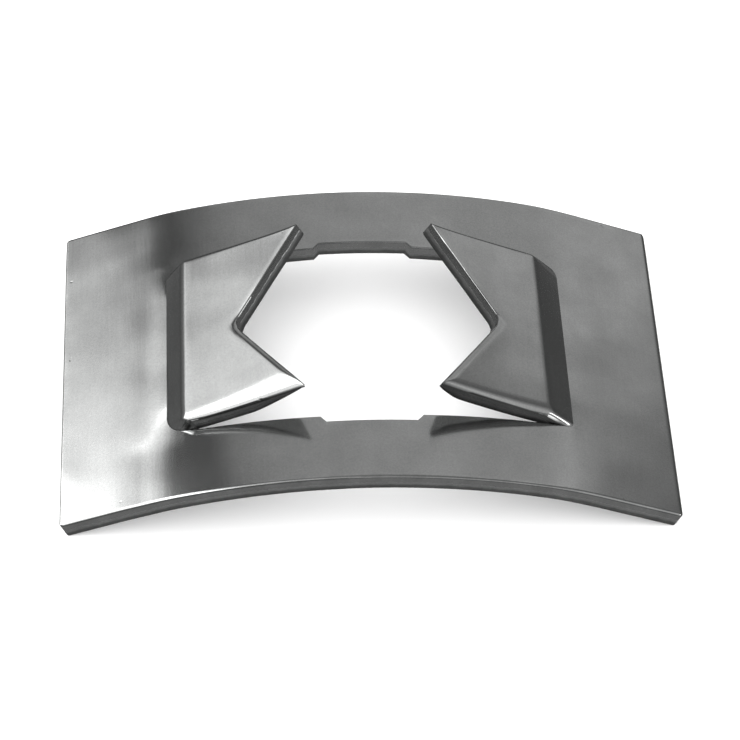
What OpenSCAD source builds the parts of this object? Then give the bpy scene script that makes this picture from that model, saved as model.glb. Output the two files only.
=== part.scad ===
// Push on retaining washer: one bowed plate of spring steel. Two tongues are
// lanced out of its middle, raised over a small step, and notched to a V at
// their free ends. The edges of the V bite on a stud that is pushed through.
// The plate is bowed upwards along X, and stands on the edges of its ends.

/* [Sheet] */
// Thickness of the spring steel
sheet_t = 0.44; // [0.35:0.01:0.55]
// Width of the roll that blanking leaves along the upper edges
edge_roll = 0.12; // [0.05:0.01:0.16]

/* [Plate] */
// Length over the two ends
plate_l = 15.7; // [14.5:0.1:16.5]
// Width across the plate
plate_w = 9.6; // [8.6:0.1:12]
// Radius of the upper face of the bowed middle
bow_r = 18.2; // [16:0.1:26]
// Length between the two folds, where the bow meets the flat ends
fold_gap = 10.3; // [9.8:0.1:11]
// Angle by which each flat end falls more steeply than the bow
end_drop = 5.5; // [2:0.5:9]
// Radius that rounds each corner of the plate, seen from above
plate_corner_r = 0.1; // [0.05:0.05:0.5]

/* [Window] */
// Width of the window between the two side bars
window_w = 5.7; // [5.2:0.1:6.4]
// Depth of the relief in each bar, in the middle of the window
relief_depth = 0.15; // [0.05:0.05:0.35]
// Length of the relief, at its full depth
relief_l = 2.3; // [1:0.1:3]
// Length of the ramp at each end of the relief
relief_ramp = 0.15; // [0.05:0.05:0.3]

/* [Tongues] */
// Clear gap between a tongue and each bar
slit_gap = 0.15; // [0.08:0.01:0.3]
// Distance between the points of the two tongues
tip_gap = 3.55; // [2.8:0.05:4]
// Distance between the bottoms of the two V notches
notch_gap = 6.75; // [5.6:0.05:7.2]
// Radius at the bottom of a V notch
notch_r = 0.35; // [0.2:0.05:0.6]
// Width left across a tongue's point
tip_w = 0.06; // [0.02:0.02:0.2]
// Radius of the upward curve of a tongue's blade
blade_r = 30; // [15:1:80]
// Angle by which a blade starts more steeply than the flat end
blade_lean = 1; // [0.5:0.5:5]
// Radius that rounds the back corners of a blade
blade_corner_r = 0.22; // [0.1:0.02:0.3]

/* [Step] */
// Height of the step that lifts a tongue off the plate
step_height = 0.24; // [0.18:0.01:0.3]
// Length that the step takes up, from the fold towards the stud
step_reach = 0.54; // [0.48:0.01:0.62]
// Radius inside the bend at the top of the step
step_top_r = 0.1; // [0.06:0.02:0.2]
// Radius at the top of the step's corners, seen from above
step_corner_r = 0.06; // [0.02:0.01:0.15]

/* [Hidden] */
$fn = 96;

// Overrun of every cut past the face that it leaves
cut_over = 0.5 * sheet_t;
// Flat facets in the bow, in the bend over a step, and in a blade
bow_steps = 36;
bend_steps = 6;
blade_steps = 8;
// Fineness of a full turn at a blade's large radius
blade_fn = 8 * $fn;
// A rolled edge in shares of its width, from the face down the side, with
// its two outermost points clear of the metal
roll_shares = [[-1.3, 0.08], [-0.55, -0.14], [-0.16, -0.48], [0.08, -1.2]];

// Slope of the bow at its ends, and of the flat ends
fold_x = fold_gap / 2;
bow_end = asin(fold_x / bow_r);
end_slope = bow_end + end_drop;

// The ends reach furthest out just under their rolled edge, or where it meets
// the side of the sheet. Their unrolled corners would lie a little further.
roll_step = roll_shares[3] - roll_shares[2];
side_share = roll_shares[2].y - roll_shares[2].x * roll_step.y / roll_step.x;
end_reach_share = max([for (p = [roll_shares[2], [0, side_share]])
    p.x * cos(end_slope) + p.y * sin(end_slope)]);
corner_x = plate_l / 2 - edge_roll * end_reach_share;
end_run = corner_x - fold_x;
end_l = end_run / cos(end_slope);

// Height of the folds, and of the bow's top, over the edges it stands on
fold_z = end_l * sin(end_slope) + sheet_t * cos(end_slope);
bow_top = fold_z + bow_r * (1 - cos(bow_end));

// Wall of the step, which runs from the fold to touch the bend at its top
top_bend_r = step_top_r + sheet_t;
bend_centre_x = step_reach + top_bend_r * sin(blade_lean);
bend_centre_z = step_height - top_bend_r * cos(blade_lean);
centre_reach = norm([bend_centre_x, bend_centre_z]);
wall_rise = atan2(bend_centre_z, bend_centre_x) + asin(top_bend_r / centre_reach);
wall_l = sqrt(centre_reach ^ 2 - top_bend_r ^ 2);

// Side view of the plate, where a point is [run, height, slope]
end_z = fold_z - end_l * sin(end_slope);
fold_slope = bow_end + end_drop / 2;
plate_points = concat(
    [[-corner_x, end_z, end_slope], [-fold_x, fold_z, fold_slope]],
    bend_points([-fold_x, fold_z, bow_end], bow_r, -bow_end, bow_steps, bow_steps - 1),
    [[fold_x, fold_z, -fold_slope], [corner_x, end_z, -end_slope]]
);

// Side view of a tongue, with its points counted from the fold
fold_point = [0, 0, end_slope + wall_rise];
wall_point = run_point(fold_point, wall_l);
blade_slope = end_slope + blade_lean;
top_bend = bend_points(wall_point, top_bend_r, blade_slope, bend_steps, bend_steps);
blade_start = top_bend[bend_steps - 1];
tip_slope = asin(sin(blade_slope) + (fold_x - tip_gap / 2 - blade_start.x) / blade_r);
notch_slope = asin(sin(blade_slope) + (fold_x - notch_gap / 2 - blade_start.x) / blade_r);
blade_arc = bend_points(blade_start, blade_r, tip_slope, blade_steps, blade_steps);
tip_point = blade_arc[blade_steps - 1];
notch_point = bend_end(blade_start, blade_r, notch_slope);

// Width of a tongue, which leaves the slits beside it
tongue_w = window_w - 2 * slit_gap;

// Radius of the window's corners, which the step's corners fill, and how far
// the metal around them reaches in under the step
window_corner_r = max(step_reach + step_corner_r, slit_gap + blade_corner_r);
corner_lap = 0.1 * window_corner_r;

// Width of the step's straight stretch, and of the whole side of the plate
step_w = window_w - 2 * window_corner_r;
side_w = (plate_w - step_w) / 2;

// Where a blade takes on its full width, along the flat end from the fold
wide_reach = window_corner_r - corner_lap;

// Where a bend from one slope to another ends. A falling bend has its
// centre under the sheet, and a climbing one above it.
function bend_end(from, r, slope) =
    let (way = slope < from.z ? -1 : 1)
    [
        from.x + way * r * (sin(slope) - sin(from.z)),
        from.y + way * r * (cos(from.z) - cos(slope)),
        slope
    ];

// Points round a bend, up to the one that is asked for last
function bend_points(from, r, slope, steps, last) =
    [for (i = [1:last]) bend_end(from, r, from.z + (slope - from.z) * i / steps)];

// Where a straight run from a point ends
function run_point(from, length) =
    [from.x + length * cos(from.z), from.y + length * sin(from.z), from.z];

// Reach of a point along a line that climbs from the fold at a slope
function reach_along(point, slope) = point.x * cos(slope) + point.y * sin(slope);

// A square corner's waste outside its rounding, the corner at the origin
module corner_waste(r) {
    difference() {
        translate([-r, -r]) square(r + cut_over);
        translate([-r, -r]) circle(r);
    }
}

// Repeats a shape on the other side of the middle line that runs along X
module on_both_sides() {
    children();
    mirror([0, 1, 0]) children();
}

// Repeats a shape at the other end of the plate
module at_both_ends() {
    children();
    mirror([1, 0, 0]) children();
}

// Stands a side view up and gives it a width, from Y = far_y inwards
module widened(far_y, w) {
    translate([0, far_y, 0]) rotate([90, 0, 0]) linear_extrude(w) children();
}

// A band of sheet whose upper face follows the points, in side view
module sheet_band(points) {
    lower = [for (i = [len(points) - 1:-1:0]) let (p = points[i])
        [p.x + sheet_t * sin(p.z), p.y - sheet_t * cos(p.z)]];
    polygon(concat([for (p = points) [p.x, p.y]], lower));
}

// Section of what a rolled edge takes off, with the sharp edge at the
// origin, the metal to the left and its upper face on the X axis
module roll_section() {
    points = edge_roll * roll_shares;
    out = cut_over * [1, 1];
    polygon(concat(points, [[out.x, points[3].y], out, [points[0].x, out.y]]));
}

// The same, placed at the upper edge of the right-hand end in side view
module end_roll() {
    translate([corner_x, end_z]) rotate(-end_slope) roll_section();
}

// Side view of the whole plate
module plate_side_view() {
    difference() {
        sheet_band(plate_points);
        end_roll();
        mirror([1, 0]) end_roll();
    }
}

// Side view of a tongue and of the flat end that carries it, from the fold
module tongue_side_view() {
    end_point = [-end_run, end_z - fold_z, end_slope];
    foot_point = [0, 0, end_slope + wall_rise / 2];
    difference() {
        sheet_band(concat([end_point, foot_point, wall_point], top_bend, blade_arc));
        mirror([1, 0]) translate([-fold_x, -fold_z]) end_roll();
    }
}

// Puts what follows at the fold, upright, with X heading for the stud
module at_fold() {
    translate([fold_x, 0, fold_z]) mirror([1, 0, 0]) children();
}

// The same, tilted so that X climbs at a slope
module at_fold_tilted(slope) {
    at_fold() rotate([0, -slope, 0]) children();
}

// Waste along the outer upper edge: one prism over each straight run of the
// side view, from end to end
module side_edge_waste() {
    for (i = [1:len(plate_points) - 1]) {
        run = plate_points[i] - plate_points[i - 1];
        run_l = norm([run.x, run.y]);
        translate([plate_points[i].x, plate_w / 2, plate_points[i].y])
            rotate([0, -atan2(run.y, run.x), 0]) translate([-run_l - cut_over, 0, 0])
                rotate([90, 0, 90]) linear_extrude(run_l + 2 * cut_over) roll_section();
    }
}

// Waste round the free corners of one side of the plate
module corners_waste() {
    at_both_ends() at_fold_tilted(end_slope) translate([-end_l, plate_w / 2, 0])
        linear_extrude(2 * (sheet_t + cut_over), center = true)
            mirror([1, 0]) corner_waste(plate_corner_r);
}

// The window between the bars, up to where its rounded corners start
module window() {
    slot_x = fold_x - window_corner_r * cos(end_slope);
    ramp_x = relief_l / 2 + relief_ramp;
    wide_y = window_w / 2 + relief_depth;
    narrow_y = window_w / 2;
    linear_extrude(bow_top + cut_over) polygon([
        [-slot_x, narrow_y], [-ramp_x, narrow_y], [-relief_l / 2, wide_y],
        [relief_l / 2, wide_y], [ramp_x, narrow_y], [slot_x, narrow_y],
        [slot_x, -narrow_y], [ramp_x, -narrow_y], [relief_l / 2, -wide_y],
        [-relief_l / 2, -wide_y], [-ramp_x, -narrow_y], [-slot_x, -narrow_y]
    ]);
}

// The window's end at a fold, with rounded corners
module window_end() {
    at_fold_tilted(end_slope) translate([0, 0, -sheet_t - cut_over])
        linear_extrude(sheet_t + 2 * cut_over) {
            on_both_sides() translate([window_corner_r, step_w / 2])
                circle(window_corner_r - corner_lap);
            translate([window_corner_r, -window_w / 2]) square([2 * corner_lap, window_w]);
        }
}

// One side of the plate before the window and the corners are cut
module rolled_side() {
    difference() {
        widened(plate_w / 2, side_w) plate_side_view();
        side_edge_waste();
    }
}

// One side of the plate, with its bar
module plate_side() {
    difference() {
        rolled_side();
        corners_waste();
        window();
        at_both_ends() window_end();
    }
}

// The step's corners: its side view turned about an upright axis
module step_corners() {
    lap_drop = corner_lap * tan(wall_rise);
    wall_x = window_corner_r - wall_l * cos(wall_rise);
    wall_height = wall_l * sin(wall_rise);
    at_fold_tilted(end_slope) on_both_sides() translate([window_corner_r, step_w / 2, 0])
        rotate_extrude(angle = 90, start = 90) polygon([
            [0, step_height], [step_corner_r, step_height], [wall_x, wall_height],
            [window_corner_r + corner_lap, -lap_drop],
            [window_corner_r + corner_lap, -lap_drop - sheet_t / 2],
            [window_corner_r, -sheet_t], [wall_x, wall_height - sheet_t],
            [step_corner_r, step_height - sheet_t], [0, step_height - sheet_t]
        ]);
}

// The V notch, seen square to the blade's mean slope
module notch_outline(slope) {
    centre_x = reach_along(notch_point, slope) + notch_r;
    tip_x = reach_along(tip_point, slope);
    tip_y = tongue_w / 2 - tip_w;
    to_tip = [tip_x - centre_x, tip_y];
    touch = atan2(to_tip.y, to_tip.x) + acos(notch_r / norm(to_tip));
    touch_x = centre_x + notch_r * cos(touch);
    touch_y = notch_r * sin(touch);
    past_x = tip_x + cut_over;
    translate([centre_x, 0]) circle(notch_r);
    polygon([
        [touch_x, touch_y], [tip_x, tip_y], [past_x, tip_y],
        [past_x, -tip_y], [tip_x, -tip_y], [touch_x, -touch_y]
    ]);
}

// Takes the V notch out of a tongue
module notch() {
    slope = (blade_slope + tip_slope) / 2;
    at_fold_tilted(slope) linear_extrude(plate_w, center = true) notch_outline(slope);
}

// Waste along the upper side edges of a blade
module blade_edge_waste() {
    centre_x = blade_start.x - blade_r * sin(blade_slope);
    centre_z = blade_start.y + blade_r * cos(blade_slope);
    sweep = tip_slope - blade_slope + asin(cut_over / blade_r);
    at_fold() on_both_sides() translate([centre_x, tongue_w / 2, centre_z]) rotate([90, 0, 0])
        rotate_extrude(angle = sweep, start = blade_slope - 90, $fn = blade_fn)
            translate([blade_r, 0]) rotate(90) mirror([1, 0]) roll_section();
}

// Waste beside the step, which leaves a blade its rounded back corners
module beside_step_waste() {
    at_fold_tilted(end_slope) on_both_sides() {
        translate([wide_reach - plate_l, step_w / 2, -plate_l / 2]) cube([plate_l, plate_w, plate_l]);
        translate([wide_reach, tongue_w / 2, 0]) linear_extrude(plate_l, center = true)
            mirror([1, 0]) corner_waste(blade_corner_r);
    }
}

// One tongue with the strip of the flat end that carries it
module tongue() {
    difference() {
        at_fold() widened(tongue_w / 2, tongue_w) tongue_side_view();
        notch();
        beside_step_waste();
        blade_edge_waste();
    }
}

module retaining_washer() {
    color([0.55, 0.56, 0.56]) union() {
        on_both_sides() plate_side();
        at_both_ends() {
            tongue();
            step_corners();
        }
    }
}

retaining_washer();
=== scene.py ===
"""Looks of a push on retaining washer: formed spring steel on a pale studio floor.

The washer is made the way the press makes it. A flat blank is laid out as a
grid, its rows and columns are drawn to the outline, the window and the two
tongues, it is formed to the bow and the steps, and it is then given its
thickness, its sheared walls and the roll along its upper edges.
"""

import logging
import math
from dataclasses import dataclass, field, replace
from enum import Enum

import bmesh
import bpy
from mathutils import Matrix, Vector


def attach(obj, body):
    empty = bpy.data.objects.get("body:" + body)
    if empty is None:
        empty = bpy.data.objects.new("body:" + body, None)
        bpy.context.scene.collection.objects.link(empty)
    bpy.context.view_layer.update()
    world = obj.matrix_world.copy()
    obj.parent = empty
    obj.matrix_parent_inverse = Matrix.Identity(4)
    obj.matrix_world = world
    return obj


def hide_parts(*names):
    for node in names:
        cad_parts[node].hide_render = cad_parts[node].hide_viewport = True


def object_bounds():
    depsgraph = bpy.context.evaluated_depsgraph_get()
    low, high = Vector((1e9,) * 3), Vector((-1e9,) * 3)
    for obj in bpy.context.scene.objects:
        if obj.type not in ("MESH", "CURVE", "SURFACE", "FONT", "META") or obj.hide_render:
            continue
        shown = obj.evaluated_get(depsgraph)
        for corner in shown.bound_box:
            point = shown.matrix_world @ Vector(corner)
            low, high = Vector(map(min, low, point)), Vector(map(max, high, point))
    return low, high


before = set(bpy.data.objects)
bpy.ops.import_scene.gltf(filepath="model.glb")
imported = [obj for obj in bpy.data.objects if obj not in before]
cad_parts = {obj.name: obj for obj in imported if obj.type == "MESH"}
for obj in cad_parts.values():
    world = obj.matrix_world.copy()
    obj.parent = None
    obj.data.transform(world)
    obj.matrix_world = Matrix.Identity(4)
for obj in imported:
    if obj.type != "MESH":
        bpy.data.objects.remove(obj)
cad_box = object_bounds()

LOG = logging.getLogger("retaining_washer")
MM = 0.001
NODE = "retaining_washer"


def ramp(value: float, low: float, high: float) -> float:
    """Share of the way from low to high, held between 0 and 1."""
    return min(max((value - low) / (high - low), 0.0), 1.0)


def mix(a: float, b: float, share: float) -> float:
    """Value that lies the given share of the way from a to b."""
    return a + (b - a) * share


def spread(count: int, power: float = 1.0) -> list[float]:
    """Shares from 0 to 1, bunched towards 0 where the power is over 1.

    Args:
        count: Number of gaps between the shares.
        power: Exponent that bunches them.

    Returns:
        count + 1 rising shares.
    """
    return [(i / count) ** power for i in range(count + 1)]


class Edge(Enum):
    """The sheared edges of the blank."""

    END = "end"
    SIDE = "side"
    WINDOW = "window"
    NOTCH = "notch"
    FLANK = "flank"


class Layer(Enum):
    """What the mesh keeps about its points."""

    DISTANCE = "edge_distance"
    DEPTH = "shear_depth"
    # Lancing, which also carries painted shade on the walls below it.
    LANCED_SHADE = "lanced"
    DROP = "roll_drop"
    SHARE = "thickness_share"
    FOOT = "step_foot"


@dataclass(frozen=True)
class Roll:
    """Rounding that shearing leaves along an upper edge, in millimetres."""

    width: float
    depth: float

    def drop(self, gap: float) -> float:
        """How far the upper face is drawn down at a distance from the edge."""
        near = 1 - ramp(gap, 0.0, self.width)
        return self.depth * (1 - math.sqrt(1 - near**2))

    def blend(self, other: "Roll", share: float) -> "Roll":
        """Roll that lies the given share of the way to another one."""
        return Roll(mix(self.width, other.width, share), mix(self.depth, other.depth, share))


@dataclass(frozen=True)
class Swell:
    """Low swell, or hollow, that the press leaves, in millimetres."""

    x: float
    y: float
    reach_x: float
    reach_y: float
    height: float

    def rise(self, x: float, y: float) -> float:
        """How far the swell lifts a point."""
        far = ((x - self.x) / self.reach_x) ** 2 + ((y - self.y) / self.reach_y) ** 2
        return self.height * math.exp(-far)


@dataclass(frozen=True)
class Sheet:
    """The strip of steel, in millimetres."""

    thickness: float = 0.44
    end_draw: float = 0.007
    wall_levels: tuple[float, ...] = (0.2, 0.42, 0.5, 0.9, 1.0)


@dataclass(frozen=True)
class SideView:
    """Side view of the formed washer, in millimetres above its end edges."""

    length: float
    thickness: float
    bow_radius: float = 18.2
    fold_gap: float = 10.3
    end_drop: float = math.radians(5.5)
    fold_soft: float = 0.32
    fold_shift: float = 0.0
    step_height: float = 0.24
    step_reach: float = 0.66
    step_top_radius: float = 0.1
    blade_lean: float = math.radians(1.0)
    blade_radius: float = 30.0

    @property
    def fold_x(self) -> float:
        """Distance of each fold from the middle."""
        return self.fold_gap / 2

    @property
    def bow_slope(self) -> float:
        """Slope of the bow where it meets a flat end."""
        return math.asin(self.fold_x / self.bow_radius)

    @property
    def end_slope(self) -> float:
        """Slope of the flat ends."""
        return self.bow_slope + self.end_drop

    @property
    def fold_z(self) -> float:
        """Height of the upper face at a fold."""
        run = self.length / 2 - self.fold_x
        return run * math.tan(self.end_slope) + self.thickness * math.cos(self.end_slope)

    def plate(self, x: float, softness: float = 1.0) -> float:
        """Height of the plate's upper face.

        Args:
            x: Distance from the middle, along the washer.
            softness: How far the kink at the fold is pressed to a soft bend.

        Returns:
            The height.
        """
        kink_x = self.fold_x + softness * self.fold_shift
        height = self.flat_end(x)
        if x < kink_x:
            height = self.bow(x) - (self.bow(kink_x) - self.flat_end(kink_x)) * x / kink_x
        kink = math.tan(self.end_slope) - math.tan(self.bow_slope)
        soft = max(self.fold_soft - abs(x - kink_x), 0.0)
        return height - softness * kink * soft**2 / (4 * self.fold_soft)

    def bow(self, x: float) -> float:
        """Height of the bow's round, which starts at the fold."""
        bow_end = math.sqrt(self.bow_radius**2 - self.fold_x**2)
        return self.fold_z + math.sqrt(self.bow_radius**2 - x**2) - bow_end

    def flat_end(self, x: float) -> float:
        """Height of the flat end, drawn on through the fold."""
        return self.fold_z - (x - self.fold_x) * math.tan(self.end_slope)

    def step_bend(self) -> tuple[float, float, float, float]:
        """Where the bend over the step runs, from the fold.

        Returns:
            Reach and rise of its start and of its end.
        """
        radius = self.step_top_radius + self.thickness
        centre_x = self.step_reach + radius * math.sin(self.blade_lean)
        centre_z = self.step_height - radius * math.cos(self.blade_lean)
        far = math.hypot(centre_x, centre_z)
        wall_slope = math.atan2(centre_z, centre_x) + math.asin(radius / far) + self.end_slope
        wall = math.sqrt(far**2 - radius**2)
        start_x, start_z = wall * math.cos(wall_slope), wall * math.sin(wall_slope)
        blade_slope = self.end_slope + self.blade_lean
        end_x = start_x + radius * (math.sin(wall_slope) - math.sin(blade_slope))
        end_z = start_z + radius * (math.cos(blade_slope) - math.cos(wall_slope))
        return start_x, start_z, end_x, end_z

    def tongue(self, reach: float) -> float:
        """Height of a tongue's upper face over the fold.

        Args:
            reach: Distance from the fold towards the stud.

        Returns:
            The height up the step's wall, over its bend or along the blade.
        """
        start_x, start_z, end_x, end_z = self.step_bend()
        radius = self.step_top_radius + self.thickness
        blade_slope = self.end_slope + self.blade_lean
        if reach <= start_x:
            return start_z * reach / start_x
        if reach <= end_x:
            centre_x = end_x + radius * math.sin(blade_slope)
            centre_z = end_z - radius * math.cos(blade_slope)
            return centre_z + math.sqrt(radius**2 - (reach - centre_x) ** 2)
        centre_x = end_x - self.blade_radius * math.sin(blade_slope)
        centre_z = end_z + self.blade_radius * math.cos(blade_slope)
        return centre_z - math.sqrt(self.blade_radius**2 - (reach - centre_x) ** 2)


@dataclass(frozen=True)
class Outline:
    """Plan of the washer's quarter with X and Y above zero, in millimetres."""

    length: float
    width: float
    corner_radius: float = 0.1
    window_width: float = 5.62
    root_width: float = 5.5
    relief_width: float = 5.96
    relief_length: float = 2.3
    relief_ramp: float = 0.15
    root_radius: float = 0.47
    root_gap: float = 9.2
    slit_crisp: float = 0.3
    tongue_width: float = 5.4
    tip_gap: float = 3.55
    tip_width: float = 0.06
    notch_gap: float = 6.75
    notch_radius: float = 0.35
    blade_corner_radius: float = 0.07
    thin_point: float = 0.28
    thin_reach: float = 1.3

    def window_edge(self, x: float) -> float:
        """Half width of the window: a relief in the middle, closing to the slits."""
        start = self.relief_length / 2
        end = start + self.relief_ramp
        closing = ramp(x, end, self.root_gap / 2)
        half = mix(self.window_width / 2, self.root_width / 2, closing)
        return mix(self.relief_width / 2, half, ramp(x, start, end))

    def notch_edge(self, y: float) -> float:
        """Distance of the V notch's edge from the middle.

        Args:
            y: Distance from the washer's long middle line.

        Returns:
            The distance, along the round bottom or one straight flank.
        """
        centre_x = self.notch_gap / 2 - self.notch_radius
        tip_x, tip_y = self.tip_gap / 2, self.tongue_width / 2 - self.tip_width
        to_tip = math.hypot(centre_x - tip_x, tip_y)
        turn = math.atan2(tip_y, tip_x - centre_x) - math.acos(self.notch_radius / to_tip)
        touch_x = centre_x + self.notch_radius * math.cos(turn)
        touch_y = self.notch_radius * math.sin(turn)
        if y <= touch_y:
            return centre_x + math.sqrt(self.notch_radius**2 - y**2)
        return mix(touch_x, tip_x, ramp(y, touch_y, tip_y))

    def thinning(self, x: float, y: float) -> float:
        """Share of the sheet's thickness left at a place near a tongue's point."""
        away = math.hypot(x - self.tip_gap / 2, y - self.tongue_width / 2)
        return mix(self.thin_point, 1.0, ramp(away, 0.0, self.thin_reach) ** 0.8)


@dataclass
class Spot:
    """A point of the blank after forming.

    Attributes:
        x: Distance from the middle, along the washer.
        y: Distance from its long middle line.
        z: Height of the upper face.
        gaps: Distances from the sheared edges nearby.
        toward_point: Share of the way from a tongue's step to its point.
        roll_share: Share of the edges' rolls that the point takes on.
        foot: Whether it is on the foot of the step.
        lanced: 1 on a tongue's side edge and less on the notch's edge; also how far painted shade darkens
            the wall below it.
    """

    x: float
    y: float
    z: float
    gaps: dict[Edge, float] = field(default_factory=dict)
    toward_point: float = 0.0
    roll_share: float = 1.0
    foot: bool = False
    lanced: float = 0.0


@dataclass(frozen=True)
class Quarter:
    """A quarter of the upper face, laid out as if X and Y were above zero.

    Attributes:
        signs: Signs of X and Y in its place.
        side: Its side view.
        outline: Its plan.
        rolls: Rolls of its sheared edges.
        point_roll: Roll of the tongue's side edge at its point.
        swells: Swells of the plate and the bar.
        tongue_swells: Swells of the tongue.
    """

    signs: tuple[int, int]
    side: SideView
    outline: Outline
    rolls: dict[Edge, Roll]
    point_roll: Roll
    swells: tuple[Swell, ...] = ()
    tongue_swells: tuple[Swell, ...] = ()
    rim_stations: tuple[float, ...] = (0.0, 0.01, 0.028, 0.056, 0.09, 0.13, 0.17)
    plate_columns: int = 30
    step_columns: int = 18
    blade_columns: int = 20
    straight_rows: int = 20
    corner_rows: int = 9
    bar_rows: int = 9
    # Share of the tongues' painted shade that darkens the notch's wall.
    notch_shade: float = 0.6
    far: float = 9.0

    def lane_rows(self) -> int:
        """Number of rows from the middle line to a tongue's side edge."""
        return self.straight_rows + self.corner_rows

    def crease(self, row: int) -> tuple[float, float]:
        """Foot of the step at a row: reach from the fold, and Y."""
        radius, edge = self.outline.root_radius, self.outline.root_width / 2
        return self.corner_point(row, 0.0, edge, radius)

    def brow(self, row: int) -> tuple[float, float]:
        """Top of the step at a row: reach from the fold, and Y."""
        reach = self.side.step_bend()[2]
        edge = self.outline.tongue_width / 2
        return self.corner_point(row, reach, edge, self.outline.blade_corner_radius)

    def corner_point(
        self, row: int, reach: float, edge: float, radius: float
    ) -> tuple[float, float]:
        """Point of a line across the tongue that ends in a rounded corner.

        Args:
            row: Row of the blank, from the middle line.
            reach: Reach of the line's straight stretch from the fold.
            edge: Y where the corner ends.
            radius: Radius of the corner.

        Returns:
            Reach and Y of the point.
        """
        straight = edge - radius
        if row <= self.straight_rows:
            return reach, straight * (1 - (1 - row / self.straight_rows) ** 1.4)
        turn = math.pi / 2 * (row - self.straight_rows) / self.corner_rows
        return reach + radius * (1 - math.cos(turn)), straight + radius * math.sin(turn)

    def plate_shares(self) -> list[float]:
        """Shares of the way from the fold out to the end, for the columns."""
        run = self.side.length / 2 - self.side.fold_x
        rim = [1 - d / run for d in reversed(self.rim_stations)]
        inner = self.plate_columns - len(rim)
        return [rim[0] * s for s in spread(inner + 1, 1.5)[:-1]] + rim

    def blade_shares(self) -> list[float]:
        """Shares of the way from the step's top to the notch's edge."""
        run = self.side.fold_x - self.outline.notch_gap / 2
        rim = [1 - d / run for d in reversed(self.rim_stations)]
        inner = self.blade_columns - len(rim)
        return [rim[0] * s for s in spread(inner + 1)[:-1]] + rim

    def bar_stations(self) -> list[float]:
        """X of the bar's columns, from the slit's root to the middle."""
        root = self.side.fold_x - self.crease(self.lane_rows())[0]
        relief, ramp_l = self.outline.relief_length / 2, self.outline.relief_ramp
        marks = [relief + ramp_l, relief]
        count = self.step_columns + self.blade_columns - len(marks)
        inner = round(count * (root - marks[0]) / root)
        outer = [mix(root, marks[0], s) for s in spread(inner)[:-1]]
        middle = [mix(relief, 0.0, s) for s in spread(count - inner + 1)]
        return outer + marks[:1] + middle

    def bar_shares(self, inner_y: float) -> list[float]:
        """Y of the bar's rows.

        Args:
            inner_y: Y of the window's edge.

        Returns:
            The rows' Y, bunched along both edges of the bar.
        """
        outer_y = self.outline.width / 2
        low = [inner_y + d for d in self.rim_stations]
        high = [outer_y - d for d in reversed(self.rim_stations)]
        middle = [mix(low[-1], high[0], s) for s in spread(self.bar_rows)[1:-1]]
        return low + middle + high

    def lay_out(self, bm: bmesh.types.BMesh) -> None:
        """Adds the formed quarter, with its slit cut, in millimetres.

        Args:
            bm: The washer's upper face.
        """
        lane = self.lane_rows()
        columns = self.plate_columns + self.step_columns + self.blade_columns
        rows = lane + len(self.bar_shares(0.0))
        layers = [bm.verts.layers.float[layer.value] for layer in Layer]
        grid = bmesh.ops.create_grid(bm, x_segments=columns, y_segments=rows, size=1.0)["verts"]
        slit = set()
        for face in {face for vert in grid for face in vert.link_faces}:
            across = [round((v.co.y + 1) / 2 * rows) for v in face.verts]
            if min(across) == lane and max(across) == lane + 1:
                slit.add(face)
        for vert in grid:
            column = round((vert.co.x + 1) / 2 * columns)
            row = round((vert.co.y + 1) / 2 * rows)
            spot = self.place(column, row)
            tongue = column > self.plate_columns and row <= lane
            swells = self.tongue_swells if tongue else self.swells
            spot.z += sum(swell.rise(spot.x, spot.y) for swell in swells)
            vert.co = spot.x * self.signs[0], spot.y * self.signs[1], spot.z
            marks = self.marks(spot)
            for layer, value in zip(layers, marks):
                vert[layer] = value
        bmesh.ops.delete(bm, geom=list(slit), context="FACES")

    def marks(self, spot: Spot) -> tuple[float, ...]:
        """What the mesh keeps about a point, in the order of Layer.

        Args:
            spot: The point.

        Returns:
            Distance from the nearest edge, depth in a wall, lancing with its
            painted shade, how far shearing has drawn the point down, share of
            the sheet's thickness and whether it is on the foot of the step.
        """
        drops = [0.0, 0.0]
        for edge, gap in spot.gaps.items():
            roll = self.rolls[edge]
            if edge is Edge.FLANK:
                roll = roll.blend(self.point_roll, spot.toward_point)
            drops.append(roll.drop(gap) * spot.roll_share)
        drops.sort()
        nearest = min(spot.gaps.values(), default=self.far)
        share = self.outline.thinning(spot.x, spot.y) if self.signs[1] < 0 else 1.0
        drop = math.hypot(drops[-1], drops[-2])
        return nearest, 0.0, spot.lanced, drop, share, float(spot.foot)

    def place(self, column: int, row: int) -> Spot:
        """Place of a grid point on the formed washer.

        Args:
            column: Column, from the plate's end towards the middle.
            row: Row, from the middle line towards the side.

        Returns:
            The formed point.
        """
        if column <= self.plate_columns:
            return self.place_plate(column, row)
        if row > self.lane_rows():
            return self.place_bar(column, row)
        return self.place_tongue(column - self.plate_columns, row)

    def place_plate(self, column: int, row: int) -> Spot:
        """Place of a grid point between the plate's end and the fold."""
        fold_x, lane = self.side.fold_x, self.lane_rows()
        share = self.plate_shares()[self.plate_columns - column]
        reach, y = self.crease(min(row, lane))
        if row > lane:
            y = self.bar_shares(self.outline.root_width / 2)[row - lane - 1]
        end_x = self.outline.length / 2
        x = mix(fold_x - reach, end_x, share)
        gaps = {Edge.END: end_x - x, Edge.SIDE: self.outline.width / 2 - y}
        foot = column == self.plate_columns and row <= lane
        x, y = self.round_corner(x, y)
        return Spot(x, y, self.side.plate(x, self.fold_softness(y)), gaps, foot=foot)

    def fold_softness(self, y: float) -> float:
        """How soft the fold is at a place across: crisp beside the step."""
        root_y = self.outline.root_width / 2
        return ramp(y, root_y - 0.9, root_y + 0.4)

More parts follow.
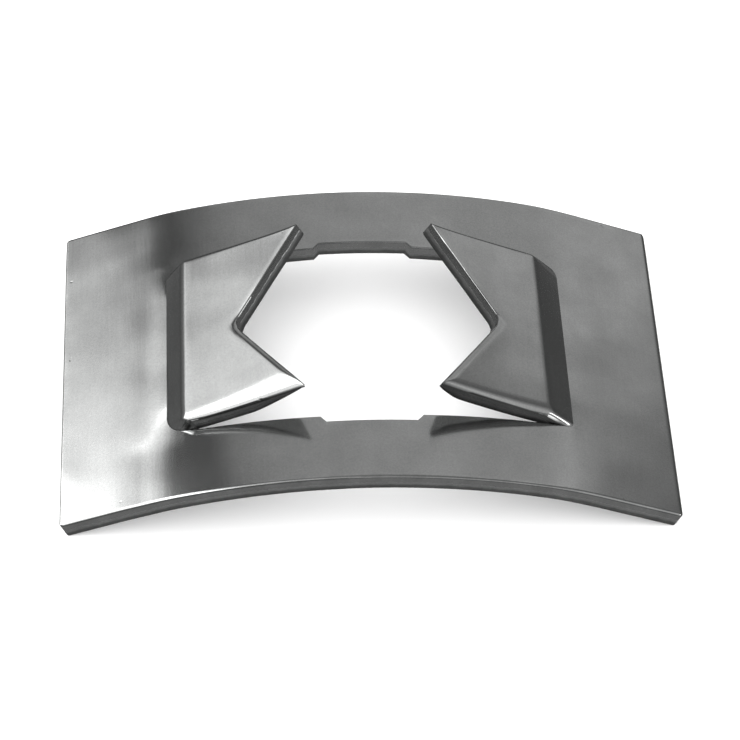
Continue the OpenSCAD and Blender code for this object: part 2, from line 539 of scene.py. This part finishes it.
    def place_bar(self, column: int, row: int) -> Spot:
        """Place of a grid point on the bar beside the window."""
        x = self.bar_stations()[column - self.plate_columns]
        inner_y = self.outline.window_edge(x)
        y = self.bar_shares(inner_y)[row - self.lane_rows() - 1]
        gaps = {Edge.SIDE: self.outline.width / 2 - y}
        if x < self.bar_stations()[0] - self.outline.slit_crisp:
            gaps[Edge.WINDOW] = y - inner_y
        return Spot(x, y, self.side.plate(x), gaps)

    def place_tongue(self, column: int, row: int) -> Spot:
        """Place of a grid point on the step or the blade.

        Args:
            column: Column, from the step's foot.
            row: Row, from the middle line.

        Returns:
            The formed point.
        """
        fold_x, last = self.side.fold_x, self.lane_rows()
        foot, brow = self.crease(row), self.brow(row)
        edge = self.outline.tongue_width / 2
        if column <= self.step_columns:
            top_reach = self.side.step_bend()[2]
            share = column / self.step_columns
            reach, y = mix(foot[0], brow[0], share), mix(foot[1], brow[1], share)
            base = self.side.plate(fold_x - foot[0], self.fold_softness(foot[1]))
            top = self.side.fold_z + self.side.tongue(brow[0])
            rise = self.side.tongue(share * top_reach) / self.side.tongue(top_reach)
            border = mix(self.crease(last)[1], edge, share)
            gaps = {Edge.FLANK: border - y if row < last else 0.0}
            spot = Spot(fold_x - reach, y, mix(base, top, rise), gaps, roll_share=share**0.5)
            # Painted shade on the step's side wall, where the tongue was cut free.
            spot.lanced = float(row == last)
            return spot
        share = self.blade_shares()[column - self.step_columns]
        y_end = brow[1] * (edge - self.outline.tip_width) / edge if row < last else edge
        edge_x = self.outline.notch_edge(y_end)
        x, y = mix(fold_x - brow[0], edge_x, share), mix(brow[1], y_end, share)
        slant = math.atan2(edge, self.outline.notch_gap / 2 - self.outline.tip_gap / 2)
        gaps = {Edge.NOTCH: (x - edge_x) * math.sin(slant), Edge.FLANK: edge - y}
        along = ramp(fold_x - x, brow[0], fold_x - self.outline.tip_gap / 2)
        z = self.side.fold_z + self.side.tongue(fold_x - x)
        # Painted shade: full on the tongue's side wall, a share of it on the notch's wall.
        lanced = 1.0 if row == last else self.notch_shade * (share == 1.0)
        return Spot(x, y, z, gaps, along, lanced=lanced)

    def round_corner(self, x: float, y: float) -> tuple[float, float]:
        """Draws a point near the plate's corner in to the corner's round.

        Args:
            x: Distance from the middle, along the washer.
            y: Distance from its long middle line.

        Returns:
            The point's new x and y.
        """
        radius = self.outline.corner_radius
        centre = self.outline.length / 2 - radius, self.outline.width / 2 - radius
        out_x, out_y = x - centre[0], y - centre[1]
        if min(out_x, out_y) <= 0:
            return x, y
        pull = max(out_x, out_y) / math.hypot(out_x, out_y)
        return centre[0] + out_x * pull, centre[1] + out_y * pull


@dataclass
class Washer:
    """The washer: four quarters of one blank, formed and sheared.

    Attributes:
        sheet: The strip it is pressed from.
        quarters: Its quarters.
    """

    sheet: Sheet
    quarters: tuple[Quarter, ...]

    @classmethod
    def from_worn_tool(cls, length: float, width: float) -> "Washer":
        """Sizes the quarters, which the worn tool leaves a little different.

        Args:
            length: Length of the washer.
            width: Its width.

        Returns:
            The washer.
        """
        sheet = Sheet()
        side = SideView(length + 2 * sheet.end_draw, sheet.thickness)
        wide_step = replace(side, step_reach=0.88, step_height=0.244, step_top_radius=0.35, fold_soft=0.8)
        outline = Outline(side.length, width)
        crisp, flank = Roll(0.03, 0.02), Roll(0.22, 0.09)
        rolls = {
            Edge.END: Roll(0.12, 0.05),
            Edge.SIDE: Roll(0.055, 0.04),
            Edge.WINDOW: crisp,
            Edge.NOTCH: Roll(0.15, 0.06),
            Edge.FLANK: flank,
        }
        back = {Edge.SIDE: crisp, Edge.FLANK: Roll(0.1, 0.04)}
        hollow = Swell(5.62, 0.0, 0.3, 2.6, -0.006)
        glare = Swell(5.12, 1.7, 0.42, 0.8, 0.012)
        tuck = Swell(5.15, 2.9, 0.22, 0.22, 0.006)
        sunk_tip = Swell(1.9, 2.7, 1.1, 1.1, -0.05)
        quarters = (
            Quarter(
                (-1, -1),
                replace(side, fold_soft=0.85, fold_shift=0.6),
                outline,
                rolls | {Edge.END: crisp},
                Roll(0.75, 0.16),
                (hollow, glare),
            ),
            Quarter(
                (1, -1),
                wide_step,
                replace(outline, root_radius=0.14, thin_point=0.5, thin_reach=0.5),
                rolls | {Edge.FLANK: Roll(0.28, 0.12)},
                flank,
            ),
            Quarter(
                (-1, 1),
                replace(side, fold_soft=0.4, fold_shift=0.15),
                outline,
                rolls | back | {Edge.END: crisp, Edge.NOTCH: Roll(0.12, 0.03)},
                back[Edge.FLANK],
                (hollow, tuck),
                (sunk_tip,),
            ),
            Quarter(
                (1, 1),
                wide_step,
                outline,
                rolls | back | {Edge.NOTCH: crisp},
                back[Edge.FLANK],
                tongue_swells=(sunk_tip,),
            ),
        )
        return cls(sheet, quarters)

    def build(self) -> bmesh.types.BMesh:
        """Presses the whole washer.

        Returns:
            Its closed mesh, in metres in the frame's place.
        """
        bm = bmesh.new()
        for layer in Layer:
            bm.verts.layers.float.new(layer.value)
        for quarter in self.quarters:
            quarter.lay_out(bm)
        bmesh.ops.remove_doubles(bm, verts=bm.verts, dist=1e-4)
        self.face_up(bm)
        foot = bm.verts.layers.float[Layer.FOOT.value]
        for edge in bm.edges:
            edge.smooth = min(vert[foot] for vert in edge.verts) < 0.5
        self.thicken(bm)
        for layer in (Layer.DROP, Layer.SHARE, Layer.FOOT):
            bm.verts.layers.float.remove(bm.verts.layers.float[layer.value])
        bmesh.ops.scale(bm, vec=Vector((MM, MM, MM)), verts=bm.verts)
        return bm

    @staticmethod
    def face_up(bm: bmesh.types.BMesh) -> None:
        """Turns the faces of the open sheet up."""
        bmesh.ops.recalc_face_normals(bm, faces=bm.faces)
        bm.normal_update()
        if sum(face.normal.z for face in bm.faces) < 0:
            bmesh.ops.reverse_faces(bm, faces=bm.faces)
            bm.normal_update()

    def thicken(self, bm: bmesh.types.BMesh) -> None:
        """Gives the formed sheet its walls, its lower face and its roll.

        Args:
            bm: The upper face, which stays where it is but for its edges.
        """
        depth, drop, share, lanced = (
            bm.verts.layers.float[layer.value]
            for layer in (Layer.DEPTH, Layer.DROP, Layer.SHARE, Layer.LANCED_SHADE)
        )
        down = {v: v.normal * v.calc_shell_factor() for v in bm.verts}
        for vert in bm.verts:
            if vert[lanced] == 1.0:
                down[vert] = Vector((vert.normal.x, 0.0, vert.normal.z)).normalized()
        origin = {v: v.co.copy() for v in bm.verts}
        region = bm.faces[:]
        upper = {v: v for v in bm.verts}
        for level in self.sheet.wall_levels:
            made = bmesh.ops.extrude_face_region(bm, geom=region)["geom"]
            region = [g for g in made if isinstance(g, bmesh.types.BMFace)]
            fresh = [g for g in made if isinstance(g, bmesh.types.BMVert)]
            source = self.match(upper, fresh)
            for vert in fresh:
                start = source[vert]
                fall = mix(start[drop], self.sheet.thickness * start[share], level)
                vert.co = origin[start] - down[start] * fall
                vert[depth] = level
            upper = source
        for vert, normal in down.items():
            vert.co = origin[vert] - normal * vert[drop]
        bmesh.ops.recalc_face_normals(bm, faces=bm.faces)

    @staticmethod
    def match(upper: dict, fresh: list) -> dict:
        """Pairs each new point with the first point that it was drawn from.

        Args:
            upper: Points of the level above, each with its first point.
            fresh: Points that were just made in the same places.

        Returns:
            The new points, each with its first point.
        """
        places = {tuple(round(c, 6) for c in v.co): first for v, first in upper.items()}
        return {v: places[tuple(round(c, 6) for c in v.co)] for v in fresh}


class Wiring:
    """Adds nodes to one node tree and joins them."""

    def __init__(self, tree: bpy.types.NodeTree) -> None:
        """Takes the tree in hand."""
        self.tree = tree

    def node(self, kind: str, **settings: object) -> bpy.types.Node:
        """Adds a node.

        Args:
            kind: Its type.
            settings: Settings of the node, or values of its inputs, by name.

        Returns:
            The node.
        """
        node = self.tree.nodes.new(kind)
        for name, value in settings.items():
            if hasattr(node, name):
                setattr(node, name, value)
            else:
                node.inputs[name.replace("_", " ")].default_value = value
        return node

    def join(self, source: bpy.types.NodeSocket, target: bpy.types.NodeSocket) -> None:
        """Joins an output to an input."""
        self.tree.links.new(source, target)

    def maths(
        self, operation: str, *values: bpy.types.NodeSocket | float
    ) -> bpy.types.NodeSocket:
        """Works out a sum of outputs and numbers.

        Args:
            operation: What is worked out.
            values: What it is worked out from.

        Returns:
            The result.
        """
        node = self.node("ShaderNodeMath", operation=operation)
        for socket, value in zip(node.inputs, values):
            if isinstance(value, float):
                socket.default_value = value
            else:
                self.join(value, socket)
        return node.outputs["Value"]

    def span(
        self,
        value: bpy.types.NodeSocket,
        source: tuple[float, float],
        target: tuple[float, float] = (0.0, 1.0),
    ) -> bpy.types.NodeSocket:
        """Maps one range of a value on another, and holds it there.

        Args:
            value: The value.
            source: The range it comes from.
            target: The range it goes to.

        Returns:
            The mapped value.
        """
        node = self.node(
            "ShaderNodeMapRange",
            From_Min=source[0],
            From_Max=source[1],
            To_Min=target[0],
            To_Max=target[1],
        )
        self.join(value, node.inputs["Value"])
        return node.outputs["Result"]

    def grade(
        self, value: bpy.types.NodeSocket, stops: tuple[tuple[float, float], ...]
    ) -> bpy.types.NodeSocket:
        """Grades a value from 0 to 1 by a row of stops.

        Args:
            value: The value.
            stops: Pairs of value and result.

        Returns:
            The result.
        """
        node = self.node("ShaderNodeValToRGB")
        elements = node.color_ramp.elements
        while len(elements) < len(stops):
            elements.new(1.0)
        for element, (place, result) in zip(elements, stops):
            element.position = place
            element.color = (result, result, result, 1)
        self.join(value, node.inputs["Fac"])
        return node.outputs["Color"]

    def noise(
        self, place: bpy.types.NodeSocket, size: float, detail: float = 2.0
    ) -> bpy.types.NodeSocket:
        """Adds soft noise.

        Args:
            place: Where it is read.
            size: Size of its blots, in millimetres.
            detail: How many finer layers it has.

        Returns:
            The noise, from 0 to 1.
        """
        node = self.node("ShaderNodeTexNoise", Scale=1 / (size * MM), Detail=detail)
        self.join(place, node.inputs["Vector"])
        return node.outputs["Fac"]


class Effect(Wiring):
    """A shared effect: a node group that finishes can use."""

    def __init__(self, name: str) -> None:
        """Starts the group under its name."""
        super().__init__(bpy.data.node_groups.new(name, "ShaderNodeTree"))
        self.inlet = self.node("NodeGroupInput")
        self.outlet = self.node("NodeGroupOutput")

    def takes(self, name: str, kind: str = "NodeSocketFloat") -> bpy.types.NodeSocket:
        """Adds an input, and returns it inside the group."""
        self.tree.interface.new_socket(name=name, in_out="INPUT", socket_type=kind)
        return self.inlet.outputs[name]

    def gives(self, name: str, value: bpy.types.NodeSocket) -> None:
        """Adds an output that carries a value."""
        self.tree.interface.new_socket(
            name=name, in_out="OUTPUT", socket_type="NodeSocketFloat"
        )
        self.join(value, self.outlet.inputs[name])


@dataclass(frozen=True)
class RolledSkin:
    """Skin of cold-rolled strip: fine grain, drawn marks, clouds and waves.

    Attributes:
        grain_size: Size of the grain, in millimetres.
        cloud_size: Size of the clouds.
        wave_size: Size of the waves left by forming.
        wave_depth: Depth of the waves.
    """

    grain_size: float = 0.045
    cloud_size: float = 1.1
    wave_size: float = 2.6
    wave_depth: float = 0.028

    def make(self) -> bpy.types.NodeTree:
        """Builds the effect.

        Returns:
            A group that gives a tone, a roughness and a height.
        """
        effect = Effect("rolled_skin")
        place = effect.takes("Place", "NodeSocketVector")
        grain = effect.noise(place, self.grain_size, 1.0)
        cloud = effect.noise(place, self.cloud_size, 4.0)
        drawn = effect.node("ShaderNodeMapping", vector_type="POINT")
        drawn.inputs["Scale"].default_value = (1.0, 0.08, 1.0)
        effect.join(place, drawn.inputs["Vector"])
        marks = effect.noise(drawn.outputs["Vector"], 0.12, 3.0)
        tone = effect.maths(
            "MULTIPLY",
            effect.span(grain, (0.3, 0.7), (0.95, 1.05)),
            effect.span(cloud, (0.3, 0.7), (0.9, 1.06)),
        )
        tone = effect.maths("MULTIPLY", tone, effect.span(marks, (0.3, 0.7), (0.988, 1.012)))
        effect.gives("Tone", tone)
        effect.gives("Roughness", effect.span(cloud, (0.35, 0.65), (0.015, -0.015)))
        waves = effect.maths("MULTIPLY", effect.noise(place, self.wave_size, 1.0), self.wave_depth * MM)
        fine = effect.maths("MULTIPLY", marks, 0.0005 * MM)
        effect.gives("Height", effect.maths("ADD", waves, fine))
        return effect.tree


@dataclass(frozen=True)
class ShearedWall:
    """Sheared wall: a burnished band over a torn one.

    Attributes:
        tones_and_underside_light: Pairs of depth in the wall and tone; the last, at depth 1, is painted
            light that brightens the whole lower face.
        tears: Pairs of depth in the wall and added roughness.
        lanced_tone: Share of the tone left where a tongue was cut free: painted shade on those walls.
    """

    tones_and_underside_light: tuple[tuple[float, float], ...] = (
        (0.0, 1.0),
        (0.06, 1.45),
        (0.44, 1.35),
        (0.52, 0.95),
        (0.64, 0.9),
        (0.74, 0.55),
        (0.98, 0.42),
        # Painted light: the lower face, at depth 1, gets 1.5 times the tone.
        (1.0, 1.5),
    )
    tears: tuple[tuple[float, float], ...] = (
        (0.0, 0.0),
        (0.2, 0.1),
        (0.44, 0.14),
        (0.52, 0.35),
        (0.98, 0.3),
        (1.0, 0.0),
    )
    lanced_tone: float = 0.22

    def make(self) -> bpy.types.NodeTree:
        """Builds the effect.

        Returns:
            A group that gives a tone, a roughness and a height.
        """
        effect = Effect("sheared_wall")
        place = effect.takes("Place", "NodeSocketVector")
        depth = effect.takes("Depth")
        lanced = effect.takes("Lanced_Shade")
        ragged = effect.span(effect.noise(place, 0.25, 3.0), (0.3, 0.7), (-0.05, 0.05))
        inside = effect.grade(depth, ((0.0, 0.0), (0.1, 1.0), (0.9, 1.0), (1.0, 0.0)))
        level = effect.maths("MULTIPLY_ADD", ragged, inside, depth)
        # Painted shade: darkens the walls where a tongue was cut free, and part of the notch's wall.
        dark = effect.span(lanced, (0.0, 1.0), (1.0, self.lanced_tone))
        effect.gives("Tone", effect.maths("MULTIPLY", effect.grade(level, self.tones_and_underside_light), dark))
        effect.gives("Roughness", effect.grade(level, self.tears))
        grit = effect.maths("MULTIPLY", effect.noise(place, 0.06, 2.0), 0.012 * MM)
        torn = effect.grade(level, ((0.44, 0.0), (0.52, 1.0), (0.96, 1.0), (1.0, 0.0)))
        effect.gives("Height", effect.maths("MULTIPLY", grit, torn))
        return effect.tree


@dataclass(frozen=True)
class EdgeWear:
    """Wear along the edges: polished rims and small nicks.

    Attributes:
        reach: How far the wear comes in from an edge, in millimetres.
        nick_size: Spacing of the nicks.
        nick_depth: Depth of a nick.
    """

    reach: float = 0.16
    nick_size: float = 0.2
    nick_depth: float = 0.008

    def make(self) -> bpy.types.NodeTree:
        """Builds the effect.

        Returns:
            A group that gives a tone, a roughness and a height.
        """
        effect = Effect("edge_wear")
        place = effect.takes("Place", "NodeSocketVector")
        distance = effect.takes("Distance")
        rim = effect.span(distance, (self.reach, 0.0))
        patches = effect.span(effect.noise(place, 0.7, 3.0), (0.42, 0.6))
        worn = effect.maths("MULTIPLY", rim, patches)
        effect.gives("Tone", effect.span(worn, (0.0, 1.0), (1.0, 1.16)))
        effect.gives("Roughness", effect.span(worn, (0.0, 1.0), (0.0, -0.03)))
        dots = effect.noise(place, self.nick_size, 0.0)
        nicks = effect.span(dots, (0.82, 0.9))
        near = effect.span(distance, (2 * self.reach, 0.0))
        deep = effect.maths("MULTIPLY", nicks, near)
        effect.gives("Height", effect.maths("MULTIPLY", deep, -self.nick_depth * MM))
        return effect.tree


@dataclass(frozen=True)
class SteelFinish:
    """Bright rolled spring steel, semi-gloss."""

    name: str = "spring_steel"
    color: tuple[float, float, float] = (0.60, 0.607, 0.602)
    roughness: float = 0.13
    skin: RolledSkin = RolledSkin()
    wall: ShearedWall = ShearedWall()
    wear: EdgeWear = EdgeWear()

    def make(self) -> bpy.types.Material:
        """Builds the material.

        Returns:
            The finished material.
        """
        material = bpy.data.materials.new(self.name)
        material.use_nodes = True
        wiring = Wiring(material.node_tree)
        shader = material.node_tree.nodes["Principled BSDF"]
        shader.inputs["Metallic"].default_value = 1.0
        place = wiring.node("ShaderNodeTexCoord").outputs["Object"]
        skin, wall, wear = (
            wiring.node("ShaderNodeGroup", node_tree=part.make())
            for part in (self.skin, self.wall, self.wear)
        )
        for group in (skin, wall, wear):
            wiring.join(place, group.inputs["Place"])
        for group, socket, layer in (
            (wall, "Depth", Layer.DEPTH.value),
            (wall, "Lanced_Shade", Layer.LANCED_SHADE.value),
            (wear, "Distance", Layer.DISTANCE.value),
        ):
            read = wiring.node("ShaderNodeAttribute", attribute_name=layer)
            wiring.join(read.outputs["Fac"], group.inputs[socket])
        self.tint(wiring, shader, (skin, wall, wear))
        self.roughen(wiring, shader, (skin, wall, wear))
        return material

    def tint(
        self, wiring: Wiring, shader: bpy.types.Node, parts: tuple[bpy.types.Node, ...]
    ) -> None:
        """Gives the steel its colour, varied by the effects.

        Args:
            wiring: The material's nodes.
            shader: Its shader.
            parts: The effects.
        """
        tone = parts[0].outputs["Tone"]
        for part in parts[1:]:
            tone = wiring.maths("MULTIPLY", tone, part.outputs["Tone"])
        color = wiring.node("ShaderNodeMix", data_type="RGBA", blend_type="MULTIPLY")
        color.inputs["Factor"].default_value = 1.0
        color.inputs["A"].default_value = (*self.color, 1)
        wiring.join(tone, color.inputs["B"])
        wiring.join(color.outputs["Result"], shader.inputs["Base Color"])

    def roughen(
        self, wiring: Wiring, shader: bpy.types.Node, parts: tuple[bpy.types.Node, ...]
    ) -> None:
        """Gives the steel its roughness and its fine relief.

        Args:
            wiring: The material's nodes.
            shader: Its shader.
            parts: The effects.
        """
        rough = wiring.maths("ADD", parts[0].outputs["Roughness"], self.roughness)
        height = parts[0].outputs["Height"]
        for part in parts[1:]:
            rough = wiring.maths("ADD", rough, part.outputs["Roughness"])
            height = wiring.maths("ADD", height, part.outputs["Height"])
        wiring.join(rough, shader.inputs["Roughness"])
        bump = wiring.node("ShaderNodeBump", Strength=1.0, Distance=1.0)
        wiring.join(height, bump.inputs["Height"])
        wiring.join(bump.outputs["Normal"], shader.inputs["Normal"])


@dataclass(frozen=True)
class PhotoCamera:
    """The camera that took the photograph, in millimetres and degrees."""

    place: tuple[float, float, float] = (-4.124, -48.889, 59.801)
    turn: float = 4.974
    elevation: float = 50.36
    roll: float = 3.03
    lens: float = 143.4

    def make(self) -> bpy.types.Object:
        """Puts the camera into the scene.

        Returns:
            The camera's object.
        """
        turn, elevation, roll = map(math.radians, (self.turn, self.elevation, self.roll))
        ahead = Vector(
            (
                math.sin(turn) * math.cos(elevation),
                math.cos(turn) * math.cos(elevation),
                -math.sin(elevation),
            )
        )
        level = Vector((math.cos(turn), -math.sin(turn), 0.0))
        rise = level.cross(ahead)
        right = level * math.cos(roll) + rise * math.sin(roll)
        up = rise * math.cos(roll) - level * math.sin(roll)
        data = bpy.data.cameras.new("photo_camera")
        data.lens = self.lens
        data.clip_start, data.clip_end = 1 * MM, 2.0
        camera = bpy.data.objects.new("photo_camera", data)
        bpy.context.scene.collection.objects.link(camera)
        turned = Matrix((right, up, -ahead)).transposed()
        camera.matrix_world = Matrix.Translation(Vector(self.place) * MM) @ turned.to_4x4()
        bpy.context.scene.camera = camera
        return camera


@dataclass(frozen=True)
class Softbox:
    """One soft lamp, aimed at the washer.

    Attributes:
        name: Its name.
        azimuth: Degrees from +Y towards +X.
        elevation: Degrees above the floor.
        distance: Millimetres from the washer.
        size: Width and height, in millimetres.
        brightness: Radiance of its face.
    """

    name: str
    azimuth: float
    elevation: float
    distance: float
    size: tuple[float, float]
    brightness: float

    def make(self) -> bpy.types.Object:
        """Puts the lamp into the scene.

        Returns:
            The lamp's object.
        """
        data = bpy.data.lights.new(self.name, "AREA")
        data.shape = "RECTANGLE"
        data.size, data.size_y = self.size[0] * MM, self.size[1] * MM
        data.energy = self.brightness * math.pi * data.size * data.size_y
        lamp = bpy.data.objects.new(self.name, data)
        bpy.context.scene.collection.objects.link(lamp)
        azimuth, elevation = math.radians(self.azimuth), math.radians(self.elevation)
        toward = Vector(
            (
                math.sin(azimuth) * math.cos(elevation),
                math.cos(azimuth) * math.cos(elevation),
                math.sin(elevation),
            )
        )
        lamp.matrix_world = (
            Matrix.Translation(toward * self.distance * MM)
            @ toward.to_track_quat("Z", "Y").to_matrix().to_4x4()
        )
        return lamp


@dataclass
class Studio:
    """Floor, surroundings and lamps.

    Attributes:
        floor_radius: Radius of the floor, in millimetres.
        bench: Brightness that gloss sees in the floor.
        shade: Least brightness that gloss sees in the room.
        daylight: Brightness of the room that lights the floor.
        lean: How much higher the room's dark foot reaches on the left.
        around: Pairs of azimuth and brightness that gloss sees in the room,
            the azimuth in degrees from +Y towards +X.
        upward: Pairs of elevation in degrees and share of that brightness.
        lamps: The lamps.
    """

    floor_radius: float = 400.0
    bench: float = 0.13
    shade: float = 0.065
    daylight: float = 2.0
    lean: float = 0.09
    around: tuple[tuple[float, float], ...] = (
        (-150.0, 0.4),
        (-120.0, 1.25),
        (-46.0, 1.1),
        (-44.5, 0.9),
        (-43.6, 1.14),
        (-42.7, 1.2),
        (-42.0, 0.97),
        (-40.6, 0.94),
        (-40.0, 0.8),
        (-39.5, 0.64),
        (-39.0, 0.42),
        (-38.5, 0.27),
        (-37.6, 0.05),
        (-30.0, 0.06),
        (-26.0, 0.22),
        (-16.0, 0.31),
        (10.0, 0.35),
        (20.0, 0.37),
        (28.0, 0.33),
        (36.0, 0.34),
        (41.0, 0.4),
        (43.0, 0.5),
        (44.4, 0.37),
        (46.6, 0.25),
        (47.3, 0.15),
        (60.0, 0.11),
        (90.0, 0.45),
        (130.0, 0.45),
        (150.0, 0.4),
    )
    upward: tuple[tuple[float, float], ...] = (
        (0.0, 0.08),
        (16.0, 0.2),
        (22.0, 0.97),
        (40.0, 1.0),
        (54.0, 1.03),
        (62.0, 0.5),
    )
    lamps: tuple[Softbox, ...] = (
        Softbox("left_softbox", -64.5, 39.0, 95.0, (43.0, 46.0), 1.6),
        Softbox("high_softbox", -105.0, 58.0, 90.0, (80.0, 24.0), 1.6),
        Softbox("right_lamp", 104.0, 20.0, 90.0, (36.0, 28.0), 2.5),
    )

    def make(self) -> None:
        """Sets up the floor, the surroundings and the lamps."""
        self.floor()
        self.surroundings()
        for lamp in self.lamps:
            lamp.make()

    def floor(self) -> None:
        """Lays the pale floor, which gloss sees as a dark bench."""
        bm = bmesh.new()
        bmesh.ops.create_circle(bm, cap_ends=True, segments=64, radius=self.floor_radius * MM)
        mesh = bpy.data.meshes.new("floor")
        bm.to_mesh(mesh)
        bm.free()
        floor = bpy.data.objects.new("floor", mesh)
        bpy.context.scene.collection.objects.link(floor)
        material = bpy.data.materials.new("pale_floor")
        material.use_nodes = True
        wiring = Wiring(material.node_tree)
        shader = material.node_tree.nodes["Principled BSDF"]
        shader.inputs["Roughness"].default_value = 0.9
        shader.inputs["Base Color"].default_value = (0.92, 0.92, 0.92, 1)
        dark = wiring.node("ShaderNodeEmission", Color=(self.bench, self.bench, self.bench, 1))
        path = wiring.node("ShaderNodeLightPath")
        blend = wiring.node("ShaderNodeMixShader")
        wiring.join(path.outputs["Is Glossy Ray"], blend.inputs["Fac"])
        wiring.join(shader.outputs["BSDF"], blend.inputs[1])
        wiring.join(dark.outputs["Emission"], blend.inputs[2])
        surface = material.node_tree.nodes["Material Output"].inputs["Surface"]
        wiring.join(blend.outputs["Shader"], surface)
        mesh.materials.append(material)

    def surroundings(self) -> None:
        """Makes the room: white for the floor's light, graded for gloss."""
        world = bpy.data.worlds.new("studio")
        bpy.context.scene.world = world
        world.use_nodes = True
        wiring = Wiring(world.node_tree)
        background = world.node_tree.nodes["Background"]
        split = wiring.node("ShaderNodeSeparateXYZ")
        wiring.join(wiring.node("ShaderNodeTexCoord").outputs["Generated"], split.inputs["Vector"])
        azimuth = wiring.maths("ARCTAN2", split.outputs["X"], split.outputs["Y"])
        elevation = wiring.maths("ARCSINE", split.outputs["Z"])
        elevation = wiring.maths("MULTIPLY_ADD", azimuth, self.lean, elevation)
        room = wiring.maths(
            "MULTIPLY",
            self.graded(wiring, azimuth, self.around),
            self.graded(wiring, elevation, self.upward),
        )
        room = wiring.maths("MAXIMUM", room, self.shade)
        path = wiring.node("ShaderNodeLightPath")
        choose = wiring.node("ShaderNodeMix", data_type="RGBA")
        wiring.join(path.outputs["Is Glossy Ray"], choose.inputs["Factor"])
        choose.inputs["A"].default_value = (self.daylight, self.daylight, self.daylight, 1)
        wiring.join(room, choose.inputs["B"])
        wiring.join(choose.outputs["Result"], background.inputs["Color"])

    @staticmethod
    def graded(
        wiring: Wiring, angle: bpy.types.NodeSocket, stops: tuple[tuple[float, float], ...]
    ) -> bpy.types.NodeSocket:
        """Grades a direction's angle into a brightness.

        Args:
            wiring: The room's nodes.
            angle: The angle, in radians.
            stops: Pairs of angle in degrees and brightness.

        Returns:
            The brightness.
        """
        share = wiring.span(angle, (-math.pi, math.pi))
        shares = tuple(((degrees + 180) / 360, result) for degrees, result in stops)
        return wiring.grade(share, shares)


def show(bm: bmesh.types.BMesh, name: str) -> bpy.types.Object:
    """Turns a mesh in hand into a smooth-shaded object.

    Args:
        bm: The mesh, which is freed.
        name: Name of the piece.

    Returns:
        The linked object.
    """
    for face in bm.faces:
        face.smooth = True
    sharp = math.radians(38)
    for edge in bm.edges:
        if len(edge.link_faces) == 2 and edge.calc_face_angle() > sharp:
            edge.smooth = False
    mesh = bpy.data.meshes.new(name)
    bm.to_mesh(mesh)
    bm.free()
    piece = bpy.data.objects.new(name, mesh)
    bpy.context.scene.collection.objects.link(piece)
    return piece


def main() -> None:
    """Builds the washer, dresses it and lights it."""
    logging.basicConfig(level=logging.INFO, format="%(name)s: %(message)s")
    low, high = cad_box
    washer = Washer.from_worn_tool((high.x - low.x) / MM, (high.y - low.y) / MM)
    piece = show(washer.build(), "pressed_washer")
    piece.data.materials.append(SteelFinish().make())
    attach(piece, "root")
    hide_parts(NODE)
    LOG.info("%s: %d faces", piece.name, len(piece.data.polygons))
    Studio().make()
    PhotoCamera().make()
    bpy.context.scene.view_settings.view_transform = "Standard"


if __name__ == "__main__":
    main()
